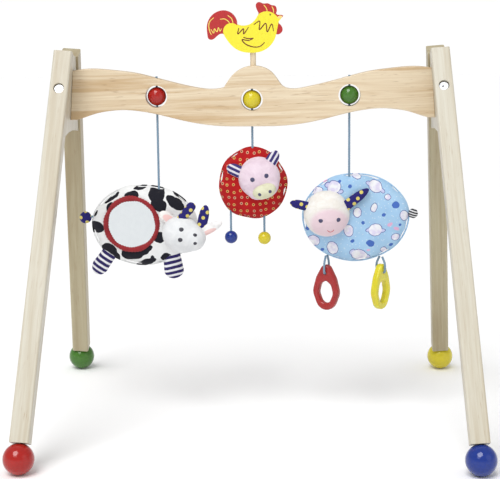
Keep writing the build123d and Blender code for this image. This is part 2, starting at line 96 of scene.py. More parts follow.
class Shader:
    """Small helper that builds one procedural material."""

    def __init__(self, name):
        self.material = bpy.data.materials.new(name)
        self.material.use_nodes = True
        self.tree = self.material.node_tree
        self.bsdf = self.tree.nodes["Principled BSDF"]
        self.place = self.tree.nodes.new("ShaderNodeTexCoord").outputs["Object"]

    def node(self, kind, settings=None, **inputs):
        """Adds a node with its settings; inputs are named, or numbered as i0, i1 and so on."""
        made = self.tree.nodes.new(kind)
        for key, value in (settings or {}).items():
            setattr(made, key, value)
        for key, value in inputs.items():
            socket = made.inputs[int(key[1:])] if key[0] == "i" and key[1:].isdigit() else made.inputs[key]
            self.feed(socket, value)
        return made

    def feed(self, socket, value):
        """Links a socket, or gives it a constant."""
        if isinstance(value, bpy.types.NodeSocket):
            self.tree.links.new(value, socket)
        else:
            socket.default_value = value

    def math(self, operation, first, second=0.0, third=0.0):
        """Output of a math node."""
        made = self.node("ShaderNodeMath", {"operation": operation}, i0=first, i1=second, i2=third)
        return made.outputs[0]

    def mapped(self, source, location=(0, 0, 0), rotation=(0, 0, 0), scale=(1, 1, 1), kind="POINT"):
        """Coordinates moved, turned and scaled."""
        made = self.node("ShaderNodeMapping", {"vector_type": kind}, Vector=source)
        made.inputs["Location"].default_value = location
        made.inputs["Rotation"].default_value = rotation
        made.inputs["Scale"].default_value = scale
        return made.outputs[0]

    def noise(self, source, scale, detail=2.0, roughness=0.5, distortion=0.0, output="Fac"):
        """Output of a noise texture."""
        made = self.node("ShaderNodeTexNoise", None, Vector=source, Scale=scale, Detail=detail,
                         Roughness=roughness, Distortion=distortion)
        return made.outputs[output]

    def grain(self, scale, detail=2.0, roughness=0.5):
        """Noise with its own scale along each axis."""
        return self.noise(self.mapped(self.place, scale=scale), 1.0, detail, roughness)

    def times(self, first, second):
        """Product of two values."""
        return self.math("MULTIPLY", first, second)

    def ramp(self, value, *stops, smooth="LINEAR"):
        """Colour ramp; each stop is a position and a colour or a grey level."""
        made = self.node("ShaderNodeValToRGB", None, Fac=value)
        ramp = made.color_ramp
        ramp.interpolation = smooth
        while len(ramp.elements) < len(stops):
            ramp.elements.new(0.5)
        for element, (position, colour) in zip(ramp.elements, stops):
            element.position = position
            element.color = (colour, colour, colour, 1) if isinstance(colour, (int, float)) else (*colour, 1)
        return made.outputs["Color"]

    def mix(self, factor, first, second, blend="MIX"):
        """Mix of two colours."""
        made = self.node("ShaderNodeMix", {"data_type": "RGBA", "blend_type": blend})
        self.feed(made.inputs[0], factor)
        self.feed(made.inputs[6], self.colour(first))
        self.feed(made.inputs[7], self.colour(second))
        return made.outputs[2]

    @staticmethod
    def colour(value):
        """A colour with its alpha, or the socket that holds one."""
        if isinstance(value, bpy.types.NodeSocket):
            return value
        return (*value, 1.0)

    def bump(self, height, distance, strength=1.0, normal=None):
        """Normal from a height."""
        made = self.node("ShaderNodeBump", None, Height=height, Distance=distance, Strength=strength)
        if normal is not None:
            self.feed(made.inputs["Normal"], normal)
        return made.outputs[0]

    def fix(self, **sockets):
        """Sets constants on the shader's own sockets."""
        for key, value in sockets.items():
            self.bsdf.inputs[key.replace("_", " ")].default_value = value

    def finish(self, **sockets):
        """Feeds the shader's sockets and returns the material."""
        for key, value in sockets.items():
            name = key.replace("_", " ")
            self.feed(self.bsdf.inputs[name], self.colour(value) if isinstance(value, tuple) else value)
        return self.material


def turn_to_z(direction):
    """Rotation that carries a direction onto +Z, for a mapping node."""
    return Vector(direction).rotation_difference(Vector((0, 0, 1))).to_euler()


# ---------------------------------------------------------------- wood, paint, metal and plastic

def wood(name, grain, light, dark, fleck, contrast=1.0, offset=(0, 0, 0)):
    """Varnished wood: soft growth bands, fine fibres and short dark pores along the grain."""
    s = Shader(name)
    along = s.mapped(s.mapped(s.place, location=offset), rotation=turn_to_z(grain))
    wander = s.noise(s.mapped(along, scale=(14, 14, 3.2)), 1.0, 3.0, 0.55, output="Color")
    bent = s.node("ShaderNodeVectorMath", {"operation": "MULTIPLY_ADD"}, i0=wander, i1=(0.012, 0.012, 0.0),
                  i2=along).outputs[0]
    bands = s.noise(s.mapped(bent, scale=(70, 70, 2.6)), 1.0, 4.0, 0.62, 0.4)
    fibres = s.noise(s.mapped(bent, scale=(620, 620, 12)), 1.0, 3.0, 0.6)
    pores = s.noise(s.mapped(bent, scale=(900, 900, 38)), 1.0, 2.0, 0.5)
    broad = s.noise(s.mapped(along, scale=(9, 9, 1.6)), 1.0, 2.0)
    band_mask = s.ramp(bands, (0.40, 0.0), (0.66, 1.0), smooth="EASE")
    base = s.mix(s.times(band_mask, 0.75 * contrast), light, dark)
    base = s.mix(s.times(s.ramp(fibres, (0.42, 0.0), (0.72, 1.0)), 0.34 * contrast), base, dark)
    pore_mask = s.ramp(pores, (0.66, 0.0), (0.73, 1.0))
    base = s.mix(s.times(pore_mask, 0.55 * contrast), base, fleck)
    base = s.mix(s.times(s.ramp(broad, (0.3, 0.0), (0.75, 1.0)), 0.22), base, dark)
    height = s.math("SUBTRACT", fibres, s.times(pore_mask, 0.8))
    rough = s.math("MULTIPLY_ADD", fibres, 0.16, 0.36)
    s.fix(Coat_Weight=0.18, Coat_Roughness=0.28)
    return s.finish(Base_Color=base, Roughness=rough, Normal=s.bump(height, mm(0.12), 0.35))


def lacquer(name, colour, deep, gloss=0.12):
    """Gloss lacquer over turned wood: fine brush ripple, faint grain and small wear marks."""
    s = Shader(name)
    grain = s.grain((240, 240, 900), 3.0, 0.6)
    cloud = s.noise(s.place, 60.0, 2.0)
    base = s.mix(s.ramp(grain, (0.35, 0.0), (0.8, 0.55)), colour, deep)
    base = s.mix(s.times(cloud, 0.25), base, deep)
    scuffs = s.ramp(s.grain((400, 160, 400), 6.0, 0.7),
                    (0.69, 0.0), (0.76, 1.0))
    rough = s.math("MULTIPLY_ADD", scuffs, 0.22, gloss)
    s.fix(Coat_Weight=0.3, Coat_Roughness=0.06, Specular_IOR_Level=0.35)
    ripple = s.noise(s.place, 95.0, 2.0)
    return s.finish(Base_Color=base, Roughness=rough, Normal=s.bump(ripple, mm(0.5), 0.12))


def moulded_plastic(name, colour, deep):
    """Smooth moulded plastic with a faint orange-peel surface and fine scratches."""
    s = Shader(name)
    peel = s.noise(s.place, 900.0, 2.0)
    cloud = s.noise(s.place, 45.0, 3.0)
    base = s.mix(s.ramp(cloud, (0.3, 0.0), (0.75, 0.6)), colour, deep)
    scratches = s.ramp(s.noise(s.mapped(s.place, rotation=(0.3, 0.7, 0.2), scale=(1400, 90, 300)), 1.0, 3.0),
                       (0.64, 0.0), (0.7, 1.0))
    s.fix(Subsurface_Weight=0.12, Subsurface_Scale=mm(3), Coat_Weight=0.25, Coat_Roughness=0.2)
    rough = s.math("MULTIPLY_ADD", scratches, 0.2, 0.27)
    return s.finish(Base_Color=base, Roughness=rough, Normal=s.bump(peel, mm(0.1), 0.15))


def zinc(name):
    """Bright zinc plating with a faint cloudy pattern and fine turning marks."""
    s = Shader(name)
    cloud = s.noise(s.place, 420.0, 4.0)
    base = s.mix(cloud, (0.56, 0.57, 0.60), (0.80, 0.81, 0.84))
    turning = s.grain((300, 3000, 3000), 2.0)
    s.fix(Metallic=1.0)
    rough = s.math("MULTIPLY_ADD", cloud, 0.18, 0.22)
    return s.finish(Base_Color=base, Roughness=rough, Normal=s.bump(turning, mm(0.05), 0.25))


def mirror_film(name):
    """Flexible acrylic mirror, slightly wavy, with a soft bloom."""
    s = Shader(name)
    wave = s.noise(s.place, 28.0, 1.0)
    bloom = s.noise(s.place, 160.0, 3.0)
    s.fix(Metallic=1.0)
    base = s.mix(bloom, (0.62, 0.65, 0.67), (0.69, 0.72, 0.73))
    rough = s.math("MULTIPLY_ADD", bloom, 0.08, 0.03)
    return s.finish(Base_Color=base, Roughness=rough, Normal=s.bump(wave, mm(1.5), 0.25))


# ---------------------------------------------------------------- fabric

def flat_place(s):
    """Object coordinates with x and z laid in a texture's first two axes."""
    parts = s.node("ShaderNodeSeparateXYZ", None, Vector=s.place)
    return s.node("ShaderNodeCombineXYZ", None, X=parts.outputs[0], Y=parts.outputs[2]).outputs[0]


def weave_height(s, pitch):
    """Plain weave: two crossing sets of round threads."""
    parts = s.node("ShaderNodeSeparateXYZ", None, Vector=s.place)
    turn = 2 * math.pi / pitch
    across = s.math("SINE", s.times(parts.outputs[0], turn))
    upward = s.math("SINE", s.times(parts.outputs[2], turn))
    return s.math("MULTIPLY_ADD", s.times(across, upward), 0.5, 0.5)


def cotton(s, colour, rough=0.82, pitch=mm(0.55), sheen=0.05):
    """Finishes a printed cotton: thread bump, faint slubs, soft darker patches of painted shade that stand
    for folds, and a light sheen.
    """
    threads = weave_height(s, pitch)
    slubs = s.grain((260, 260, 1500), 2.0)
    cloud = s.noise(s.place, 55.0, 3.0, 0.55)
    # Painted shade: noise darkens the colour in soft patches that stand for the shade of folds.
    toned = s.mix(s.times(cloud, 0.22), colour, (0.02, 0.02, 0.03))
    toned = s.mix(s.times(threads, 0.05), toned, (0.03, 0.03, 0.04))
    wrinkle = s.noise(s.place, 70.0, 3.0, 0.6, 0.8)
    normal = s.bump(wrinkle, mm(2.2), 0.28)
    normal = s.bump(s.math("ADD", threads, slubs), mm(0.18), 0.35, normal)
    s.fix(Sheen_Weight=sheen, Sheen_Roughness=0.5, Specular_IOR_Level=0.12)
    roughness = s.math("MULTIPLY_ADD", slubs, 0.12, rough - 0.06)
    return s.finish(Base_Color=toned, Roughness=roughness, Normal=normal)


def velour(name, colour, shade, tint=None, tint_place=None, border=0.15):
    """Short pile velour with brushed patches; a second colour fills a panel."""
    s = Shader(name)
    pile = s.noise(s.place, 1500.0, 3.0, 0.7)
    brushed = s.noise(s.place, 75.0, 4.0, 0.6, 1.2)
    base = s.mix(s.ramp(brushed, (0.32, 0.0), (0.72, 0.75)), colour, shade)
    if tint is not None:
        base = s.mix(patches(s, flat_place(s), [tint_place], soft=border), base, tint)
        base = s.mix(s.times(s.ramp(pile, (0.4, 0.0), (0.7, 1.0)), 0.12), base, shade)
    base = s.mix(s.times(s.ramp(pile, (0.45, 0.0), (0.75, 1.0)), 0.16), base, shade)
    s.fix(Sheen_Weight=0.22, Sheen_Roughness=0.35, Specular_IOR_Level=0.15)
    normal = s.bump(brushed, mm(0.9), 0.3)
    roughness = s.math("MULTIPLY_ADD", pile, 0.14, 0.82)
    return s.finish(Base_Color=base, Roughness=roughness, Normal=s.bump(pile, mm(0.35), 0.5, normal))


def patches(s, flat, shapes, soft=0.0):
    """Mask of filled ovals. Each is x, z, two half sizes and an upward tilt in degrees, in mm."""
    mask = None
    for x, z, half_x, half_z, tilt in shapes:
        local = s.mapped(flat, location=(mm(x), mm(z), 0), rotation=(0, 0, math.radians(tilt)),
                         scale=(mm(half_x), mm(half_z), 1), kind="TEXTURE")
        reach = s.node("ShaderNodeVectorMath", {"operation": "LENGTH"}, i0=local).outputs["Value"]
        if soft:
            inside = s.ramp(reach, (1 - soft, 1.0), (1.0, 0.0), smooth="EASE")
        else:
            inside = s.math("LESS_THAN", reach, 1.0)
        mask = inside if mask is None else s.math("MAXIMUM", mask, inside)
    return mask


def wobbled(s, flat, reach, scale):
    """Flat coordinates pushed about by noise, for hand-drawn edges."""
    push = s.noise(flat, scale, 2.0, output="Color")
    centred = s.node("ShaderNodeVectorMath", {"operation": "SUBTRACT"}, i0=push,
                     i1=(0.5, 0.5, 0.5)).outputs[0]
    return s.node("ShaderNodeVectorMath", {"operation": "MULTIPLY_ADD"}, i0=centred,
                  i1=(reach, reach, 0.0), i2=flat).outputs[0]


COW_PATCHES = [
    (-133, 320, 11, 13, 10), (-130, 305, 12, 9, -40), (-156, 328.5, 10, 3, 12), (-168, 317.5, 10, 6.5, 12),
    (-196, 313.5, 13, 2.4, 37), (-197, 300, 6, 8.5, -18), (-219, 292, 5, 1.8, 55), (-220, 273, 13, 8.5, -4),
    (-201, 241, 12, 9, -32), (-194, 232, 7, 9, 20), (-168, 237, 17, 10, 8), (-150, 241, 12, 5, 32),
    (-150, 223, 15, 5, 20), (-130, 259, 8, 8, 10), (-108, 307, 15, 7, -38), (-103, 316, 13, 2, -42),
    (-122, 230, 8.5, 7, 25), (-103, 229, 12, 5, 15), (-141, 228, 3, 5, 0), (-88, 296, 6, 5, 0),
]
LAMB_BLOBS = [
    (169, 329, 9, 7.5, -35), (112, 328, 9, 8, 30), (143, 343, 6, 3.5, -20), (167, 300, 4, 6, -15),
    (169, 269, 9, 8, 10), (209, 288, 5.5, 6.5, 20), (197, 258, 5.5, 4.5, 15), (147, 233, 11, 7.5, -15),
    (144, 293, 5, 6.5, 0), (132, 268, 6, 8, 10), (110, 243, 7, 9, 15), (84, 253, 8, 7, -30),
    (90, 322, 7, 5, 35), (186, 314, 4, 3.4, 0), (181, 240, 4, 3.6, 0),
]
LAMB_EARS = [
    (160, 333, 4, 2.2, -30), (178, 323, 4, 2.2, -50), (103, 331, 3.6, 2, 40), (121, 322, 3.6, 2, 20),
    (137, 238, 4, 2.2, 50), (158, 231, 4.5, 2.2, -30), (178, 268, 4, 2.2, 0), (160, 269, 4, 2.2, 20),
]
LAMB_HEARTS = [
    (134, 329, 2.6, 2.6, 0), (197, 303, 5.2, 5, 20), (180.5, 289.5, 2.8, 2.4, 0), (152, 279, 2.6, 2.6, 0),
    (137.5, 253.5, 2.8, 2.4, 0), (162, 250, 6, 4.6, -20), (191, 247, 3, 2.2, 20), (96, 240, 2.6, 2.4, 0),
    (120, 336, 2.2, 2, 0), (203, 275, 2, 2, 0), (175, 345, 2, 2, 0), (75, 270, 3, 2.6, 0),
]
LAMB_BOWS = [(189, 276, 4, 2.4, 35), (198, 270, 4, 2.2, -20), (100, 336, 3, 2, 30), (160, 240, 2.4, 1.8, 0)]


def cow_print():
    """White cotton with black patches."""
    s = Shader("cow_print")
    flat = flat_place(s)
    mask = patches(s, wobbled(s, flat, mm(5), 90.0), COW_PATCHES)
    return cotton(s, s.mix(mask, (0.86, 0.87, 0.87), (0.012, 0.012, 0.018)))


def pig_print():
    """Red cotton with small cream and yellow rings round dark dots."""
    s = Shader("red_print")
    flat = flat_place(s)
    cells = s.node("ShaderNodeTexVoronoi", {"voronoi_dimensions": "2D"}, Vector=flat, Scale=112.0,
                   Randomness=0.34)
    reach = s.math("DIVIDE", cells.outputs["Distance"], 112.0)
    ring = s.math("LESS_THAN", reach, mm(2.0))
    dot = s.math("LESS_THAN", reach, mm(0.95))
    pick = s.node("ShaderNodeSeparateColor", None, Color=cells.outputs["Color"]).outputs[0]
    ring_colour = s.mix(s.math("GREATER_THAN", pick, 0.5), (0.78, 0.42, 0.13), (0.72, 0.36, 0.22))
    red = s.mix(s.noise(flat, 60.0, 2.0), (0.58, 0.012, 0.010), (0.36, 0.006, 0.008))
    colour = s.mix(ring, red, ring_colour)
    return cotton(s, s.mix(dot, colour, (0.07, 0.01, 0.012)))


def lamb_print():
    """Light blue cotton with white blobs, some with two lobes, blue and pink ovals and white specks."""
    s = Shader("blue_print")
    flat = flat_place(s)
    drawn = wobbled(s, flat, mm(2.4), 160.0)
    base = s.mix(s.noise(flat, 40.0, 3.0), (0.32, 0.54, 0.80), (0.46, 0.68, 0.88))
    specks = s.node("ShaderNodeTexVoronoi", {"voronoi_dimensions": "2D"}, Vector=flat, Scale=150.0)
    speck_mask = s.math("LESS_THAN", s.math("DIVIDE", specks.outputs["Distance"], 150.0), mm(0.65))
    colour = s.mix(s.times(speck_mask, 0.55), base, (0.84, 0.90, 0.95))
    outline = [(x, z, a + 0.9, b + 0.9, t) for x, z, a, b, t in LAMB_EARS + LAMB_BLOBS]
    colour = s.mix(patches(s, drawn, outline), colour, (0.13, 0.16, 0.42))
    colour = s.mix(patches(s, drawn, LAMB_EARS), colour, (0.60, 0.62, 0.86))
    inner = s.mix(s.ramp(s.noise(flat, 130.0, 2.0), (0.42, 0.0), (0.62, 1.0)), (0.88, 0.89, 0.93),
                  (0.72, 0.68, 0.86))
    colour = s.mix(patches(s, drawn, LAMB_BLOBS), colour, inner)
    colour = s.mix(patches(s, drawn, LAMB_HEARTS), colour, (0.07, 0.16, 0.52))
    colour = s.mix(patches(s, drawn, LAMB_BOWS), colour, (0.78, 0.45, 0.66))
    return cotton(s, colour)


def striped(name, direction, pitch, dark, light=(0.84, 0.84, 0.88), shift=0.0):
    """Cotton with even stripes across a direction in the x-z plane."""
    s = Shader(name)
    turned = s.mapped(wobbled(s, flat_place(s), mm(1.2), 90.0),
                      rotation=(0, 0, -math.atan2(direction[1], direction[0])))
    run = s.node("ShaderNodeSeparateXYZ", None, Vector=turned).outputs[0]
    wave = s.math("SINE", s.math("MULTIPLY_ADD", run, 2 * math.pi / mm(pitch), shift))
    return cotton(s, s.mix(s.math("GREATER_THAN", wave, -0.22), light, dark))


def dotted(name):
    """Navy cotton with yellow dots."""
    s = Shader(name)
    cells = s.node("ShaderNodeTexVoronoi", {"voronoi_dimensions": "2D"}, Scale=100.0, Randomness=0.28,
                   Vector=s.mapped(flat_place(s), rotation=(0, 0, 0.6)))
    dot = s.math("LESS_THAN", s.math("DIVIDE", cells.outputs["Distance"], 100.0), mm(2.5))
    return cotton(s, s.mix(dot, (0.022, 0.018, 0.16), (0.74, 0.62, 0.16)))


def binding(name):
    """Red bias binding: fine diagonal rib and gathered shading."""
    s = Shader(name)
    parts = s.node("ShaderNodeSeparateXYZ", None, Vector=s.place)
    rib = s.math("SINE", s.times(s.math("ADD", parts.outputs[0], parts.outputs[2]), 9000.0))
    cloud = s.noise(s.place, 90.0, 3.0)
    colour = s.mix(cloud, (0.34, 0.008, 0.014), (0.20, 0.004, 0.009))
    s.fix(Sheen_Weight=0.05)
    roughness = s.math("MULTIPLY_ADD", cloud, 0.14, 0.66)
    return s.finish(Base_Color=colour, Roughness=roughness, Normal=s.bump(rib, mm(0.12), 0.35))


def cord_fibre(name):
    """Slate-blue cotton cord: fibre streaks and a slightly dusty surface."""
    s = Shader(name)
    fibre = s.grain((2600, 2600, 700), 3.0, 0.65)
    cloud = s.noise(s.place, 120.0, 2.0)
    colour = s.mix(s.ramp(fibre, (0.35, 0.0), (0.7, 1.0)), (0.12, 0.21, 0.31), (0.27, 0.40, 0.52))
    colour = s.mix(s.times(cloud, 0.3), colour, (0.08, 0.12, 0.19))
    s.fix(Sheen_Weight=0.3)
    roughness = s.math("MULTIPLY_ADD", fibre, 0.12, 0.78)
    return s.finish(Base_Color=colour, Roughness=roughness, Normal=s.bump(fibre, mm(0.15), 0.5))


def thread(name, colour, sheen_colour):
    """Embroidery thread: glossy satin stitches."""
    s = Shader(name)
    stitches = s.grain((900, 900, 4200), 2.0)
    base = s.mix(s.ramp(stitches, (0.4, 0.0), (0.75, 1.0)), colour, sheen_colour)
    roughness = s.math("MULTIPLY_ADD", stitches, 0.2, 0.34)
    return s.finish(Base_Color=base, Roughness=roughness, Normal=s.bump(stitches, mm(0.15), 0.45))


def rooster_paint():
    """Painted board: yellow body, red tail, comb and wattle, cream beak, faint brush marks."""
    s = Shader("rooster_paint")
    flat = flat_place(s)
    parts = s.node("ShaderNodeSeparateXYZ", None, Vector=flat)
    x, z = parts.outputs[0], parts.outputs[1]

    def below(value, limit):
        return s.math("LESS_THAN", value, mm(limit))

    def above(value, limit):
        return s.math("GREATER_THAN", value, mm(limit))

    def outside(centre, radius):
        return s.math("SUBTRACT", 1.0, patches(s, flat, [(*centre, radius, radius, 0)]))

    def both(*masks):
        mask = masks[0]
        for other in masks[1:]:
            mask = s.times(mask, other)
        return mask

    tail = both(below(x, -18.8), outside((-26.8, 541), 11.2),
                s.math("MAXIMUM", above(z, 541), below(x, -37.5)))
    comb = both(outside((21.0, 550), 17.4), above(z, 558), above(x, 5))
    leaning = s.math("MULTIPLY_ADD", z, -0.2, x)
    wattle = both(above(leaning, 33.9 - 0.2 * 537), below(z, 552.5))
    beak = patches(s, flat, [(39.0, 559.5, 3.4, 2.0, 8)])
    streaks = s.grain((420, 420, 60), 3.0, 0.6)
    yellow = s.mix(streaks, (0.86, 0.79, 0.022), (0.78, 0.66, 0.018))
    red = s.mix(streaks, (0.50, 0.008, 0.008), (0.36, 0.004, 0.006))
    colour = s.mix(s.math("MAXIMUM", s.math("MAXIMUM", tail, comb), wattle), yellow, red)
    colour = s.mix(beak, colour, (0.86, 0.60, 0.20))
    s.fix(Coat_Weight=0.35, Coat_Roughness=0.2)
    roughness = s.math("MULTIPLY_ADD", streaks, 0.14, 0.34)
    return s.finish(Base_Color=colour, Roughness=roughness, Normal=s.bump(streaks, mm(0.12), 0.3))


# ---------------------------------------------------------------- mesh helpers

def add_object(name, verts, faces, material, smooth=True):
    """Object from points and faces."""
    mesh = bpy.data.meshes.new(name)
    mesh.from_pydata([tuple(v) for v in verts], [], faces)
    mesh.materials.append(material)
    if smooth:
        mesh.polygons.foreach_set("use_smooth", [True] * len(mesh.polygons))
    mesh.update()
    obj = bpy.data.objects.new(name, mesh)
    scene.collection.objects.link(obj)
    return obj


def baked(obj):
    """Replaces an object's mesh by its mesh with all modifiers applied."""
    bpy.context.view_layer.update()
    shaped = bpy.data.meshes.new_from_object(obj.evaluated_get(bpy.context.evaluated_depsgraph_get()))
    obj.modifiers.clear()
    obj.data = shaped
    shaped.polygons.foreach_set("use_smooth", [True] * len(shaped.polygons))
    return obj


def worn_by(obj, body, slot_name, *nodes):
    """Gives a piece its body and hides the CAD nodes that it stands for; slot_name is not used."""
    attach(obj, body)
    if nodes:
        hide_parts(*nodes)
    return obj


def curve_through(points, steps=8, closed=False):
    """Catmull-Rom curve through points."""
    points = [Vector(p) for p in points]
    count = len(points)
    result = []
    spans = count if closed else count - 1
    for index in range(spans):
        if closed:
            a, b, c, d = (points[(index + k - 1) % count] for k in range(4))
        else:
            b, c = points[index], points[index + 1]
            a = points[index - 1] if index else b + (b - c)
            d = points[index + 2] if index + 2 < count else c + (c - b)
        for step in range(steps):
            t = step / steps
            result.append(0.5 * (2 * b + (c - a) * t + (2 * a - 5 * b + 4 * c - d) * t * t
                                 + (3 * b - a - 3 * c + d) * t ** 3))
    if not closed:
        result.append(points[-1])
    return result


def route(points, resolution=10):
    """Points along the NURBS spline of order 3 that has these control points."""
    data = bpy.data.curves.new("route", "CURVE")
    data.dimensions = "3D"
    data.resolution_u = resolution
    spline = data.splines.new("NURBS")
    spline.points.add(len(points) - 1)
    for point, place in zip(spline.points, points):
        point.co = (*place, 1)
    spline.order_u = 3
    spline.use_endpoint_u = True
    holder = bpy.data.objects.new("route", data)
    scene.collection.objects.link(holder)
    bpy.context.view_layer.update()
    mesh = bpy.data.meshes.new_from_object(holder.evaluated_get(bpy.context.evaluated_depsgraph_get()))
    places = [vertex.co.copy() for vertex in mesh.vertices]
    bpy.data.objects.remove(holder)
    bpy.data.curves.remove(data)
    bpy.data.meshes.remove(mesh)
    return places


def tube(name, path, radius, material, sides=12, lobes=0, lay_length=mm(9), taper=0.0):
    """Capped tube along a path. With lobes, its section is that of a twisted cord of so many strands."""
    path = [Vector(p) for p in path]
    tangents = []
    for index in range(len(path)):
        ahead = path[min(index + 1, len(path) - 1)]
        behind = path[max(index - 1, 0)]
        tangents.append((ahead - behind).normalized())
    side = tangents[0].orthogonal().normalized()
    verts, faces = [], []
    run = 0.0
    for index, (place, tangent) in enumerate(zip(path, tangents)):
        if index:
            run += (place - path[index - 1]).length
            side = (side - tangent * side.dot(tangent)).normalized()
        other = tangent.cross(side)
        share = index / (len(path) - 1)
        width = radius * (1 - taper + taper * math.sqrt(max(0.0, math.sin(math.pi * (0.06 + 0.88 * share)))))
        spin = 2 * math.pi * run / lay_length
        for step in range(sides):
            angle = 2 * math.pi * step / sides
            reach = width
            if lobes:
                reach *= 0.86 + 0.14 * abs(math.cos(lobes * (angle - spin) / 2))
            verts.append(place + (side * math.cos(angle) + other * math.sin(angle)) * reach)
    for ring in range(len(path) - 1):
        for step in range(sides):
            a, b = ring * sides + step, ring * sides + (step + 1) % sides
            faces.append((a, b, b + sides, a + sides))
    faces.append(tuple(reversed(range(sides))))
    last = (len(path) - 1) * sides
    faces.append(tuple(range(last, last + sides)))
    return add_object(name, verts, faces, material)


def even(points, gap):
    """The same line with points about every gap."""
    result = [Vector(points[0])]
    for a, b in zip(points, points[1:]):
        a, b = Vector(a), Vector(b)
        count = max(1, round((b - a).length / gap))
        result += [a.lerp(b, (k + 1) / count) for k in range(count)]
    return result


def joined(name, objects):
    """One object from several, keeping their materials."""
    mesh = bmesh.new()
    materials = []
    for obj in objects:
        index = len(materials)
        for material in obj.data.materials:
            materials.append(material)
        part = obj.data.copy()
        part.polygons.foreach_set("material_index", [index] * len(part.polygons))
        mesh.from_mesh(part)
        bpy.data.meshes.remove(part)
    unique = []
    slots = []
    for material in materials:
        if material not in unique:
            unique.append(material)
        slots.append(unique.index(material))
    for face in mesh.faces:
        face.material_index = slots[face.material_index]
        face.smooth = True
    data = bpy.data.meshes.new(name)
    mesh.to_mesh(data)
    mesh.free()
    for material in unique:
        data.materials.append(material)
    result = bpy.data.objects.new(name, data)
    scene.collection.objects.link(result)
    for obj in objects:
        bpy.data.objects.remove(obj)
    return result


def pillow_mesh(name, outline, middle_y, thickness, material, rings=9, crown=2.3, puckers=0):
    """Two crowned sheets sewn along an outline of x, z points in mm; the seam is a sharp rim."""
    loop = [Vector((x * MM, 0, z * MM)) for x, z in outline]
    centre = sum(loop, Vector()) / len(loop)
    count = len(loop)
    verts, faces = [], []

    def height(share, angle):
        rise = (1 - share ** crown) ** 0.62 * thickness * MM / 2
        gather = math.exp(-((1 - share) / 0.13) ** 2)
        return rise + gather * 0.45 * MM * (1 - share) / 0.1 * math.sin(puckers * angle) if puckers else rise

    for sheet in (-1, 1):
        for ring in range(1, rings):
            share = math.sin(math.pi / 2 * ring / rings)
            for index, point in enumerate(loop):
                angle = 2 * math.pi * index / count
                place = centre.lerp(point, share)
                place.y = middle_y * MM + sheet * height(share, angle)
                verts.append(place)
    rim_start = len(verts)
    for point in loop:
        place = point.copy()
        place.y = middle_y * MM
        verts.append(place)
    poles = []
    for sheet in (-1, 1):
        place = centre.copy()
        place.y = middle_y * MM + sheet * thickness * MM / 2
        poles.append(len(verts))
        verts.append(place)
    for number, sheet in enumerate((-1, 1)):
        start = number * (rings - 1) * count
        for ring in range(rings - 1):
            for index in range(count):
                following = (index + 1) % count
                a, b = start + ring * count + index, start + ring * count + following
                if ring < rings - 2:
                    c, d = b + count, a + count
                else:
                    c, d = rim_start + following, rim_start + index
                faces.append((a, b, c, d) if sheet < 0 else (d, c, b, a))
        for index in range(count):
            following = (index + 1) % count
            a, b = start + index, start + following
            faces.append((poles[number], b, a) if sheet < 0 else (poles[number], a, b))
    return add_object(name, verts, faces, material)


def consistent(obj):
    """Turns every face outward."""
    mesh = bmesh.new()
    mesh.from_mesh(obj.data)
    bmesh.ops.recalc_face_normals(mesh, faces=mesh.faces)
    mesh.to_mesh(obj.data)
    mesh.free()
    obj.data.update()
    return obj


def subdivided(obj, levels=1):
    """Smooths a mesh by subdivision."""
    modifier = obj.modifiers.new("subdivision", "SUBSURF")
    modifier.levels = levels
    modifier.render_levels = levels
    return baked(obj)


def box_of(places):
    """Lowest and highest corner of a box round some points."""
    return (Vector([min(place[axis] for place in places) for axis in range(3)]),
            Vector([max(place[axis] for place in places) for axis in range(3)]))


def inflated(obj, pressure, cap, frames=20, enlarge=5.0):
    """Cloth simulation of a sewn shell blown up by pressure, applied to the mesh.

    The result is stretched back to the shell's own outline, and no point moves over cap.
    """
    rest = [vertex.co.copy() for vertex in obj.data.vertices]
    for vertex, place in zip(obj.data.vertices, rest):
        vertex.co = place * enlarge
    modifier = obj.modifiers.new("cloth", "CLOTH")
    settings = modifier.settings
    settings.quality = 6
    settings.mass = 0.25
    settings.tension_stiffness = 12
    settings.compression_stiffness = 12
    settings.shear_stiffness = 6
    settings.bending_stiffness = 0.4
    settings.air_damping = 4
    settings.use_pressure = True
    settings.uniform_pressure_force = pressure
    settings.effector_weights.gravity = 0
    modifier.collision_settings.use_collision = False
    modifier.point_cache.frame_start = 1
    modifier.point_cache.frame_end = frames
    for number in range(1, frames + 1):
        scene.frame_set(number)
    shaped = obj.evaluated_get(bpy.context.evaluated_depsgraph_get()).to_mesh()
    moved = [vertex.co / enlarge for vertex in shaped.vertices]
    obj.modifiers.clear()
    scene.frame_set(1)
    low, high = box_of(rest)
    low_moved, high_moved = box_of(moved)
    middle, middle_moved = (low + high) / 2, (low_moved + high_moved) / 2
    regain = Vector(((high.x - low.x) / (high_moved.x - low_moved.x), 1.0,
                     (high.z - low.z) / (high_moved.z - low_moved.z)))
    for vertex, old, new in zip(obj.data.vertices, rest, moved):
        step = middle + (new - middle_moved) * regain - old
        if step.length > cap * MM:
            step *= cap * MM / step.length
        vertex.co = old + step
    obj.data.update()
    return obj


def plush(name, balls, material, voxel=1.7, smoothing=10):
    """Stuffed form of melted ellipsoids: each a centre, three half sizes and an x-z tilt, in mm."""
    mesh = bmesh.new()
    for centre, sizes, tilt in balls:
        shape = (Matrix.Translation(mm(*centre)) @ Matrix.Rotation(math.radians(-tilt), 4, "Y")
                 @ Matrix.Diagonal((*[size * MM for size in sizes], 1)))
        bmesh.ops.create_uvsphere(mesh, u_segments=40, v_segments=24, radius=1.0, matrix=shape)
    data = bpy.data.meshes.new(name)
    mesh.to_mesh(data)
    mesh.free()
    data.materials.append(material)
    obj = bpy.data.objects.new(name, data)
    scene.collection.objects.link(obj)
    remesh = obj.modifiers.new("remesh", "REMESH")
    remesh.mode = "VOXEL"
    remesh.voxel_size = voxel * MM
    smooth = obj.modifiers.new("smooth", "SMOOTH")
    smooth.iterations = smoothing
    smooth.factor = 0.6
    return subdivided(baked(obj))


